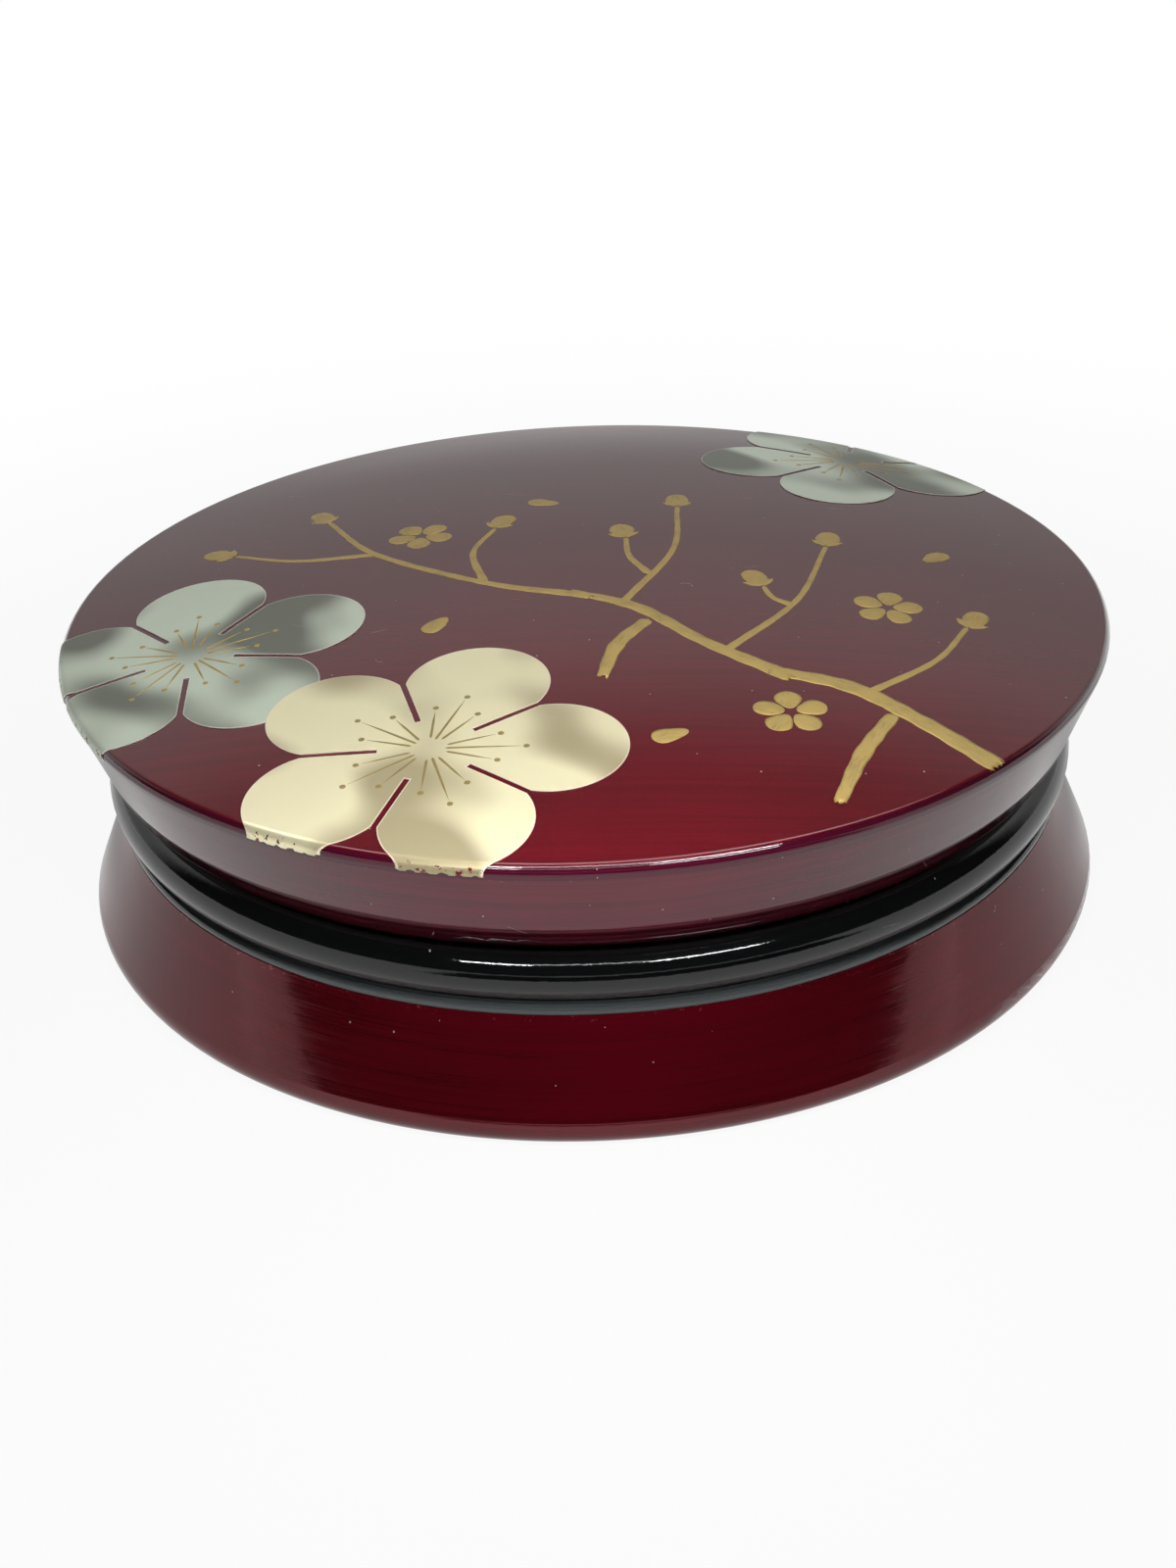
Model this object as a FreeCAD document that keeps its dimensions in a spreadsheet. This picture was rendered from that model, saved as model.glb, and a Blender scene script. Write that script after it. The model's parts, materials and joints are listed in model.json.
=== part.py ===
import FreeCAD, Part
import math
import os
import re

import Sketcher
from FreeCAD import Vector

# Round lacquered box with a lift-off lid. Z is up and is the turning axis; the foot stands on z = 0.
# All lengths are in millimetres and all angles in degrees.

SIZES = {
    # Lid: a shallow dome on a tapered side ring, with a locating lip inside
    "rim_radius": 120.0,
    "dome_rise": 10.0,
    "rim_round": 1.75,
    "lid_side_height": 24.9,
    "lid_side_taper": 9.4,
    "heel_round": 8.0,
    "panel_thickness": 6.0,
    "panel_edge": 3.0,
    "skirt_top_width": 9.0,
    "lip_wall": 3.2,
    "lip_reach": 5.0,
    "lip_land": 8.0,
    "lip_lead": 1.0,
    "lid_clearance": 0.4,
    # Waist: a large half-round bead over a fine string bead, each arc a little flatter than a half circle
    "lid_overhang": 2.7,
    "bead_height": 11.9,
    "bead_flatness": 0.3,
    "bead_root_width": 2.35,
    "quirk_height": 0.8,
    "quirk_width": 3.35,
    "string_height": 1.9,
    "string_flatness": 0.6,
    "string_root_width": 4.35,
    # Bowl: the black tray inside, floor and wall turned as one
    "bowl_wall": 4.0,
    "bowl_floor": 7.0,
    "bowl_cove": 9.0,
    "mouth_bevel": 0.8,
    # Foot: a flared ring that carries the bowl on an inner ledge
    "foot_height": 26.3,
    "foot_top_width": 4.55,
    "foot_flare": 11.3,
    "foot_round": 4.5,
    "foot_bevel": 1.0,
    "ledge_width": 7.5,
    "ledge_height": 5.0,
    # Gap left for glue between rings that sit inside one another, and under the foils
    "glue_gap": 0.05,
    # Metal foils laid on the lid, and the worn bites along their ends below the rim
    "foil_thickness": 0.15,
    "foil_wrap": 2.2,
    "slit_width": 1.3,
    "bite_radius": 1.05,
    "bite_depth": 0.45,
    "bite_pitch": 3.2,
    "tool_overrun": 2.0,
    # Each blossom: the reach from its middle to a petal's middle, how far its petals would run past
    # the rim if it lay flat, the bearing of its middle from the axis, and its turn. The front silver
    # one has its bearing from the gold one, which covers it by the overlap.
    "gold_front_reach": 25.0,
    "gold_front_overrun": 5.5,
    "gold_front_bearing": -112.0,
    "gold_front_turn": -76.0,
    "silver_front_reach": 24.5,
    "silver_front_overrun": 10.5,
    "silver_front_overlap": 6.0,
    "silver_front_turn": 20.0,
    "silver_back_reach": 23.5,
    "silver_back_overrun": 21.2,
    "silver_back_bearing": 47.4,
    "silver_back_turn": -30.0,
}

# Petals, slits and the heart of a blossom, as shares of its reach
PETAL_RADIUS_SHARE = 0.61
HEART_RADIUS_SHARE = 0.66
SLIT_START_SHARE = 0.42
SLIT_LENGTH_SHARE = 0.9
PETAL_COUNT = 5
PETAL_STEP = 360 / PETAL_COUNT

# How much the worn bites differ, and the turn from one to the next that keeps them from repeating
BITE_VARIATION_SHARE = 0.35
BITE_TURN = 137.5

DERIVED = {
    "string_top": "foot_height + string_height",
    "bead_bottom": "string_top + quirk_height",
    "seat_height": "bead_bottom + bead_height",
    "rim_height": "seat_height + lid_side_height",
    "apex_height": "rim_height + dome_rise",
    "seam_height": "rim_height - panel_edge",
    "skirt_foot_radius": "rim_radius - lid_side_taper",
    "skirt_tilt": "atan(lid_side_taper / lid_side_height)",
    "seam_radius": "rim_radius - lid_side_taper * panel_edge / lid_side_height",
    "panel_recess_radius": "seam_radius - skirt_top_width",
    "recess_rise": "apex_height - panel_thickness - seam_height",
    "recess_curve": "(panel_recess_radius ^ 2 + recess_rise ^ 2) / (2 * recess_rise)",
    "dome_curve": "(rim_radius ^ 2 + dome_rise ^ 2) / (2 * dome_rise)",
    "dome_centre": "apex_height - dome_curve",
    "rim_slope": "asin(rim_radius / dome_curve)",
    "bead_root_radius": "skirt_foot_radius - lid_overhang",
    "bead_curve": "bead_height / 2 + bead_flatness",
    "string_curve": "string_height / 2 + string_flatness",
    "ring_bore_radius": "bead_root_radius - bead_root_width",
    "quirk_radius": "ring_bore_radius + quirk_width",
    "string_root_radius": "ring_bore_radius + string_root_width",
    "foot_top_radius": "ring_bore_radius + foot_top_width",
    "foot_corner_radius": "foot_top_radius + foot_flare",
    "bowl_radius": "ring_bore_radius - glue_gap",
    "mouth_radius": "bowl_radius - bowl_wall",
    "bowl_floor_top": "ledge_height + bowl_floor",
    "ledge_radius": "bowl_radius - ledge_width",
    "lip_radius": "mouth_radius - lid_clearance",
    "lip_bore_radius": "lip_radius - lip_wall",
    "lip_top": "seat_height + lip_land",
    "lip_bottom": "seat_height - lip_reach",
    "rebate_radius": "lip_radius + glue_gap",
    "wrap_bottom": "rim_height - foil_wrap",
    "foil_top": "glue_gap + foil_thickness",
    # Middle of the rim's round, which touches the dome and the side. It is found from the dome's
    # centre: first square to the side, then along it.
    "round_offset": "dome_curve * sin(rim_slope - skirt_tilt) - rim_round",
    "round_climb": "sqrt((dome_curve - rim_round) ^ 2 - round_offset ^ 2)",
    "round_radius": "round_offset * cos(skirt_tilt) + round_climb * sin(skirt_tilt)",
    "round_rise": "round_climb * cos(skirt_tilt) - round_offset * sin(skirt_tilt)",
    # Bearing of the front silver blossom, by the triangle of the axis and the two front middles
    "front_spacing": "gold_front_span + silver_front_span - silver_front_overlap",
    "front_square": "gold_front_distance ^ 2 + silver_front_distance ^ 2 - front_spacing ^ 2",
    "front_spread": "acos(front_square / (2 * gold_front_distance * silver_front_distance))",
    "silver_front_bearing": "gold_front_bearing * 1 deg - front_spread",
}
for blossom in ("gold_front", "silver_front", "silver_back"):
    DERIVED[f"{blossom}_span"] = f"{blossom}_reach * (1 + {PETAL_RADIUS_SHARE})"
    DERIVED[f"{blossom}_distance"] = f"rim_radius + {blossom}_overrun - {blossom}_span"
    DERIVED[f"{blossom}_across"] = f"{blossom}_distance * cos({blossom}_bearing)"
    DERIVED[f"{blossom}_along"] = f"{blossom}_distance * sin({blossom}_bearing)"

doc = FreeCAD.newDocument("LacquerBox")
sheet = doc.addObject("Spreadsheet::Sheet", "Sizes")


def fill_sheet():
    """Write every driving dimension into the sheet, its name beside it."""
    for row, (name, size) in enumerate(SIZES.items(), start=1):
        sheet.set(f"A{row}", name.replace("_", " "))
        sheet.set(f"B{row}", str(size))
        sheet.setAlias(f"B{row}", name)
    doc.recompute()


def bound(formula):
    """Return the formula with every name written out in terms of the sheet's cells."""

    def written_out(match):
        word = match.group(0)
        if word in DERIVED:
            return f"({bound(DERIVED[word])})"
        return f"Sizes.{word}" if word in SIZES else word

    return re.sub(r"[a-z][a-z_]*", written_out, formula)


def value(formula):
    """Return the present value of a formula."""
    return float(sheet.evalExpression(bound(formula)))


def origin_plane(body, role):
    """Return one of a body's own origin planes."""
    return next(feature for feature in body.Origin.OriginFeatures if feature.Role == role)


def curved_side(start, end, radius, outwards):
    """Return the arc from start to end and the numbers of its first and last points.

    The outline runs anticlockwise, so an arc that bulges outwards has its centre on the left.
    """
    chord = end - start
    side = Vector(-chord.y, chord.x, 0).normalize()
    depth = math.sqrt(radius ** 2 - (chord.Length / 2) ** 2)
    centre = start + chord / 2 + side * (depth if outwards else -depth)
    first, last = (start, end) if outwards else (end, start)
    angles = [math.atan2(point.y - centre.y, point.x - centre.x) for point in (first, last)]
    circle = Part.Circle(centre, Vector(0, 0, 1), radius)
    return Part.ArcOfCircle(circle, *angles), (1, 2) if outwards else (2, 1)


def hold(sketch, kind, element, point, formula):
    """Hold one coordinate of a sketch point at a formula, or on the axis where it is zero."""
    if formula == "0":
        axis = -2 if kind == "DistanceX" else -1
        sketch.addConstraint(Sketcher.Constraint("PointOnObject", element, point, axis))
        return
    number = sketch.addConstraint(Sketcher.Constraint(kind, -1, 1, element, point, value(formula)))
    sketch.setExpression(f"Constraints[{number}]", bound(formula))


def draw_outline(sketch, corners):
    """Draw a closed outline in a sketch, anticlockwise, and hold it by the sheet's sizes.

    Each corner is (radius, height) or (radius, height, curve), where curve is the radius of the
    arc to the next corner; a minus sign in front makes that arc hollow instead of bulging.
    """
    places = [Vector(value(corner[0]), value(corner[1]), 0) for corner in corners]
    ends = []
    for index, corner in enumerate(corners):
        start = places[index]
        end = places[(index + 1) % len(places)]
        if len(corner) == 3:
            hollow = corner[2].startswith("-")
            curve = corner[2].lstrip("-")
            arc, order = curved_side(start, end, value(curve), not hollow)
            element = sketch.addGeometry(arc, False)
            number = sketch.addConstraint(Sketcher.Constraint("Radius", element, value(curve)))
            sketch.setExpression(f"Constraints[{number}]", bound(curve))
        else:
            element = sketch.addGeometry(Part.LineSegment(start, end), False)
            order = (1, 2)
        ends.append((element, *order))
    for index, corner in enumerate(corners):
        element, first, _ = ends[index]
        before, _, last = ends[index - 1]
        sketch.addConstraint(Sketcher.Constraint("Coincident", before, last, element, first))
        hold(sketch, "DistanceX", element, first, corner[0])
        hold(sketch, "DistanceY", element, first, corner[1])


def turned(name, corners):
    """Return a body turned about Z from an outline in the XZ plane."""
    body = doc.addObject("PartDesign::Body", name)
    body.Label = name
    sketch = body.newObject("Sketcher::SketchObject", f"{name}_outline")
    sketch.AttachmentSupport = [(origin_plane(body, "XZ_Plane"), "")]
    sketch.MapMode = "FlatFace"
    draw_outline(sketch, corners)
    turning = body.newObject("PartDesign::Revolution", f"{name}_turning")
    turning.Profile = sketch
    turning.ReferenceAxis = (sketch, ["V_Axis"])
    turning.Angle = 360
    doc.recompute()
    return body


def work_edge(body, corner, kind, setting, size):
    """Add a fillet or chamfer to the circular edge of a turned body at a corner (radius, height)."""
    tip = body.Tip
    place = (value(corner[0]), value(corner[1]))
    edges = []
    for number, edge in enumerate(tip.Shape.Edges, start=1):
        if not edge.Degenerated and isinstance(edge.Curve, Part.Circle):
            gap = math.hypot(edge.Curve.Radius - place[0], edge.Curve.Center.z - place[1])
            edges.append((gap, f"Edge{number}"))
    feature = body.newObject(f"PartDesign::{kind}", f"{body.Name}_{kind.lower()}")
    feature.Base = (tip, [min(edges)[1]])
    feature.setExpression(setting, bound(size))
    doc.recompute()


def ease(body, corner, radius):
    """Round the edge at a corner."""
    work_edge(body, corner, "Fillet", "Radius", radius)


def bevel(body, corner, width):
    """Cut the edge at a corner off at 45 degrees."""
    work_edge(body, corner, "Chamfer", "Size", width)


def lid_side(skin="0"):
    """Return the corners of the lid's outer form, grown by a skin: seam, foot and head of the round."""
    grown = f"(dome_curve + {skin}) / (dome_curve - rim_round)"
    return [
        (f"seam_radius + {skin} / cos(skirt_tilt)", "seam_height"),
        (
            f"round_radius + (rim_round + {skin}) * cos(skirt_tilt)",
            f"dome_centre + round_rise - (rim_round + {skin}) * sin(skirt_tilt)",
        ),
        (f"round_radius * {grown}", f"dome_centre + round_rise * {grown}"),
    ]


def make_lid_panel():
    """Domed top of the lid, hollowed underneath."""
    seam, round_foot, round_head = lid_side()
    body = turned("lid_panel", [
        ("0", "seam_height"),
        seam,
        (*round_foot, "rim_round"),
        (*round_head, "dome_curve"),
        ("0", "apex_height"),
    ])
    sketch = body.newObject("Sketcher::SketchObject", "lid_panel_hollow")
    sketch.AttachmentSupport = [(origin_plane(body, "XZ_Plane"), "")]
    sketch.MapMode = "FlatFace"
    draw_outline(sketch, [
        ("0", "seam_height"),
        ("panel_recess_radius", "seam_height", "recess_curve"),
        ("0", "seam_height + recess_rise"),
    ])
    before = body.Shape.Volume
    groove = body.newObject("PartDesign::Groove", "lid_panel_hollowing")
    groove.Profile = sketch
    groove.ReferenceAxis = (sketch, ["V_Axis"])
    groove.Angle = 360
    doc.recompute()
    print("lid panel hollowed by", round(before - body.Shape.Volume), "cubic mm")
    return body


def make_lid_skirt():
    """Tapered side ring of the lid, rebated inside for the lip."""
    body = turned("lid_skirt", [
        ("rebate_radius", "seat_height"),
        ("skirt_foot_radius", "seat_height"),
        ("seam_radius", "seam_height"),
        ("panel_recess_radius", "seam_height"),
        ("lip_bore_radius", "lip_top"),
        ("rebate_radius", "lip_top"),
    ])
    ease(body, ("skirt_foot_radius", "seat_height"), "heel_round")
    return body


def make_lid_lip():
    """Locating ring that drops into the bowl's mouth."""
    body = turned("lid_lip", [
        ("lip_bore_radius", "lip_bottom"),
        ("lip_radius", "lip_bottom"),
        ("lip_radius", "lip_top"),
        ("lip_bore_radius", "lip_top"),
    ])
    bevel(body, ("lip_radius", "lip_bottom"), "lip_lead")
    bevel(body, ("lip_bore_radius", "lip_bottom"), "lip_lead")
    return body


def make_bowl():
    """Black tray: floor and wall in one, with a cove between them. The lid rests on its rim."""
    body = turned("bowl", [
        ("0", "ledge_height"),
        ("bowl_radius", "ledge_height"),
        ("bowl_radius", "seat_height"),
        ("mouth_radius", "seat_height"),
        ("mouth_radius", "bowl_floor_top"),
        ("0", "bowl_floor_top"),
    ])
    ease(body, ("mouth_radius", "bowl_floor_top"), "bowl_cove")
    bevel(body, ("mouth_radius", "seat_height"), "mouth_bevel")
    return body


def make_waist_bead():
    """Large half-round bead under the lid's side."""
    return turned("waist_bead", [
        ("ring_bore_radius", "bead_bottom"),
        ("bead_root_radius", "bead_bottom", "bead_curve"),
        ("bead_root_radius", "seat_height"),
        ("ring_bore_radius", "seat_height"),
    ])


def make_waist_string():
    """Fine string bead with a plain quirk above it."""
    return turned("waist_string", [
        ("ring_bore_radius", "foot_height"),
        ("string_root_radius", "foot_height", "string_curve"),
        ("string_root_radius", "string_top"),
        ("quirk_radius", "string_top"),
        ("quirk_radius", "bead_bottom"),
        ("ring_bore_radius", "bead_bottom"),
    ])


def make_foot_skirt():
    """Flared foot ring with the ledge that carries the bowl."""
    body = turned("foot_skirt", [
        ("ledge_radius", "0"),
        ("foot_corner_radius", "0"),
        ("foot_top_radius", "foot_height"),
        ("ring_bore_radius", "foot_height"),
        ("ring_bore_radius", "ledge_height"),
        ("ledge_radius", "ledge_height"),
    ])
    ease(body, ("foot_corner_radius", "0"), "foot_round")
    bevel(body, ("ledge_radius", "0"), "foot_bevel")
    return body


def upright(kind, name, formulas):
    """Return an upright primitive over the lid, its size and place held by formulas."""
    tool = doc.addObject(kind, name)
    for size, formula in formulas.items():
        tool.setExpression(size, bound(formula))
    tool.setExpression("Placement.Base.z", bound("wrap_bottom"))
    tool.setExpression("Height", bound("apex_height - wrap_bottom + tool_overrun"))
    return tool


def blossom_block(blossom):
    """Return the upright block of a round-petalled blossom, slit between its petals."""
    across = f"{blossom}_across"
    along = f"{blossom}_along"
    reach = f"{blossom}_reach"
    heart = upright("Part::Cylinder", f"{blossom}_heart", {
        "Radius": f"{HEART_RADIUS_SHARE} * {reach}",
        "Placement.Base.x": across,
        "Placement.Base.y": along,
    })
    petals = []
    slits = []
    start = f"{SLIT_START_SHARE} * {reach}"
    for number in range(PETAL_COUNT):
        turn = f"({blossom}_turn + {number * PETAL_STEP})"
        petals.append(upright("Part::Cylinder", f"{blossom}_petal", {
            "Radius": f"{PETAL_RADIUS_SHARE} * {reach}",
            "Placement.Base.x": f"{across} + {reach} * cos{turn}",
            "Placement.Base.y": f"{along} + {reach} * sin{turn}",
        }))
        turn = f"({blossom}_turn + {(number + 0.5) * PETAL_STEP})"
        slits.append(upright("Part::Box", f"{blossom}_slit", {
            "Length": f"{SLIT_LENGTH_SHARE} * {reach}",
            "Width": "slit_width",
            "Placement.Base.x": f"{across} + {start} * cos{turn} + slit_width / 2 * sin{turn}",
            "Placement.Base.y": f"{along} + {start} * sin{turn} - slit_width / 2 * cos{turn}",
            "Placement.Rotation.Angle": turn,
        }))
    whole = doc.addObject("Part::MultiFuse", f"{blossom}_petals")
    whole.Shapes = [heart, *petals]
    gaps = doc.addObject("Part::MultiFuse", f"{blossom}_slits")
    gaps.Shapes = slits
    return cut_away(f"{blossom}_block", whole, gaps)


def worn_bites(blossom):
    """Return the uneven row of bites that wear has taken out of a foil's end below the rim."""
    middle = Vector(value(f"{blossom}_across"), value(f"{blossom}_along"), 0)
    span = value(f"{blossom}_span")
    rim_radius = value("rim_radius")
    count = round(2 * math.pi * rim_radius / value("bite_pitch"))
    bites = []
    for number in range(count):
        outward = FreeCAD.Rotation(Vector(0, 0, 1), 360 * number / count).multVec(Vector(1, 0, 0))
        if (outward * rim_radius - middle).Length > span:
            continue
        unlike = 1 + BITE_VARIATION_SHARE * math.sin(math.radians(number * BITE_TURN))
        radius = value("bite_radius") * unlike
        start = outward * value("seam_radius - tool_overrun")
        start.z = value("wrap_bottom") + value("bite_depth") * unlike - radius
        bites.append(Part.makeCylinder(radius, value("2 * tool_overrun + panel_edge"), start, outward))
    row = doc.addObject("Part::Feature", f"{blossom}_bites")
    row.Shape = Part.makeCompound(bites)
    return row


def cut_away(name, base, tool):
    """Return what is left of base without tool."""
    rest = doc.addObject("Part::Cut", name)
    rest.Base = base
    rest.Tool = tool
    return rest


def make_foil_skin():
    """Thin shell glued over the dome, the round of the rim and the head of the side, before it is cut."""
    seam, round_foot, round_head = lid_side("glue_gap")
    outer_seam, outer_foot, outer_head = lid_side("foil_top")
    return turned("foil_skin", [
        seam,
        outer_seam,
        (*outer_foot, "rim_round + foil_top"),
        (*outer_head, "dome_curve + foil_top"),
        ("0", "apex_height + foil_top"),
        ("0", "apex_height + glue_gap", "-(dome_curve + glue_gap)"),
        (*round_head, "-(rim_round + glue_gap)"),
        round_foot,
    ])


def blossom_foil(name, blossom, block, skin):
    """Foil cut out of the skin by a blossom's block, and worn along its end below the rim."""
    laid = doc.addObject("Part::MultiCommon", f"{name}_laid")
    laid.Shapes = [block, skin]
    foil = cut_away(name, laid, worn_bites(blossom))
    doc.recompute()
    return foil


def make_foils():
    """The three metal foils that lie on the dome and wrap over the rim."""
    skin = make_foil_skin()
    gold = blossom_block("gold_front")
    covered = cut_away("silver_front_uncovered", blossom_block("silver_front"), gold)
    return [
        blossom_foil("gold_foil_front", "gold_front", gold, skin),
        blossom_foil("silver_foil_front", "silver_front", covered, skin),
        blossom_foil("silver_foil_back", "silver_back", blossom_block("silver_back"), skin),
    ]


def write_parts(parts):
    """Check every object and every part, then write each part to its own file."""
    failed = [item.Label for item in doc.Objects if {"Invalid", "Error"} & set(item.State)]
    if failed:
        raise RuntimeError(f"objects that failed: {failed}")
    for part in parts:
        shape = part.Shape
        if shape.isNull() or not shape.isValid() or not shape.Solids:
            raise RuntimeError(f"{part.Label} has no valid solid")
    os.makedirs("parts", exist_ok=True)
    for part in parts:
        part.Shape.exportStep(f"parts/{part.Label}.step")
        print(part.Label, len(part.Shape.Solids), "solid,", round(part.Shape.Volume), "cubic mm")


fill_sheet()
write_parts([
    make_bowl(),
    make_waist_bead(),
    make_waist_string(),
    make_foot_skirt(),
    make_lid_skirt(),
    make_lid_lip(),
    make_lid_panel(),
    *make_foils(),
])
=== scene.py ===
"""Looks of a round lacquered box with a lift-off lid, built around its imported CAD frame."""

import json
import logging
import math
import random
from dataclasses import dataclass, field
from enum import Enum
from typing import Any, Callable, Iterable, Optional, Sequence, Union

import bpy
from mathutils import Matrix, Vector


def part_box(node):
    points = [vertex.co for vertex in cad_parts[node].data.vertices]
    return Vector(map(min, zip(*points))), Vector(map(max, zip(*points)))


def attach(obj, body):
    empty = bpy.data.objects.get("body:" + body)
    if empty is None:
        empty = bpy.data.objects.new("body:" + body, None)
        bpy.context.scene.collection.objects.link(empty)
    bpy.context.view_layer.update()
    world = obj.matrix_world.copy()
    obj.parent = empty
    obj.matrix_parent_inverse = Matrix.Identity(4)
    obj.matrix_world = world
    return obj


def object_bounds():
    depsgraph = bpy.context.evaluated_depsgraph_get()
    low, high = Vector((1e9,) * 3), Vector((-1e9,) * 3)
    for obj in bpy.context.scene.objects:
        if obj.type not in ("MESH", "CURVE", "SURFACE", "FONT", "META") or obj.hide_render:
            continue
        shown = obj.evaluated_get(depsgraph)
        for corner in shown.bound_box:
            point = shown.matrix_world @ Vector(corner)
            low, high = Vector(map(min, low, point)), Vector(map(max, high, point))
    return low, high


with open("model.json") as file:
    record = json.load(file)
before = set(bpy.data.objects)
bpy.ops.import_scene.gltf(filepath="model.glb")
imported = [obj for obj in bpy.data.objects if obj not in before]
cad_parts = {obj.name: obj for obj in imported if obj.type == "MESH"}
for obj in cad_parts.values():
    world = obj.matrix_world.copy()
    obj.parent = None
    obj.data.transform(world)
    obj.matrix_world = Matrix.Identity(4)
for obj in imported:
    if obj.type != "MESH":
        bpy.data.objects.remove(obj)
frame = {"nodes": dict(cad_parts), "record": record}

CAD_LOW, CAD_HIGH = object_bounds()
MM = 0.001
PER_MM = 1000.0
FULL_TURN = 2 * math.pi
FACES_INWARD = (-0.1, -0.3)
FACES_DOWN = (-0.85, -0.95)

log = logging.getLogger("lacquered_box")

Rgb = tuple[float, float, float]
Point = tuple[float, float]
Range = tuple[float, float]
Triple = tuple[float, float, float]


class Side(Enum):
    """How a surface is laid out flat for its brush marks and dust."""

    TOP = "top"
    ROUND = "round"


class StrokeEnd(Enum):
    """How a stroke of gold paint starts or ends."""

    FINE = "fine"
    LOADED = "loaded"
    DRY = "dry"


class Light(Enum):
    """What a lamp lights."""

    COLOUR = "the colours under the gloss"
    GLOSS = "what the gloss mirrors"


@dataclass(frozen=True)
class Noise:
    """Fractal noise from 0 to 1: how often it changes per mm, and the depth and share of its detail."""

    scale: float
    detail: float = 2.0
    roughness: float = 0.5


# Shader maths


def arithmetic(operation: str, number_first: bool = False) -> Callable[["Shade", "Value"], "Shade"]:
    """An operator of Shade, made from a kind of Math node."""

    def operator(shade: "Shade", other: "Value") -> "Shade":
        """The result of the two."""
        return shade.sheet.maths(operation, *((other, shade) if number_first else (shade, other)))

    return operator


class Shade:
    """One output socket of a finish, with arithmetic that adds the nodes it needs."""

    __add__ = arithmetic("ADD")
    __radd__ = arithmetic("ADD", True)
    __sub__ = arithmetic("SUBTRACT")
    __rsub__ = arithmetic("SUBTRACT", True)
    __mul__ = arithmetic("MULTIPLY")
    __rmul__ = arithmetic("MULTIPLY", True)
    __truediv__ = arithmetic("DIVIDE")

    def __init__(self, sheet: "NodeSheet", source: bpy.types.Node, output: Union[int, str] = 0) -> None:
        """Keeps the node and the socket that the value comes from."""
        self.sheet = sheet
        self.source = source
        self.socket = source.outputs[output]

    def output(self, name: Union[int, str]) -> "Shade":
        """Another output of the same node."""
        return Shade(self.sheet, self.source, name)

    def maths(self, operation: str, *others: "Value") -> "Shade":
        """A Math node on this value and the others."""
        return self.sheet.maths(operation, self, *others)

    def size(self) -> "Shade":
        """The value without its sign."""
        return self.maths("ABSOLUTE")

    def root(self) -> "Shade":
        """The square root."""
        return self.maths("SQRT")

    def least(self, other: "Value") -> "Shade":
        """The smaller of the two."""
        return self.maths("MINIMUM", other)

    def most(self, other: "Value") -> "Shade":
        """The larger of the two."""
        return self.maths("MAXIMUM", other)

    def rise(self, start: float, end: float) -> "Shade":
        """A mask that goes smoothly from 0 at start to 1 at end, where start may be the larger."""
        if start > end:
            return 1.0 - self.rise(end, start)
        return self.sheet.node(
            "ShaderNodeMapRange", {"interpolation_type": "SMOOTHSTEP"}, {0: self, 1: start, 2: end})

    def parts(self) -> tuple["Shade", "Shade", "Shade"]:
        """The x, y and z of a vector."""
        split = self.sheet.node("ShaderNodeSeparateXYZ", {}, {0: self})
        return split, split.output(1), split.output(2)


Value = Union[Shade, float, int, Sequence[float]]


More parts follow.
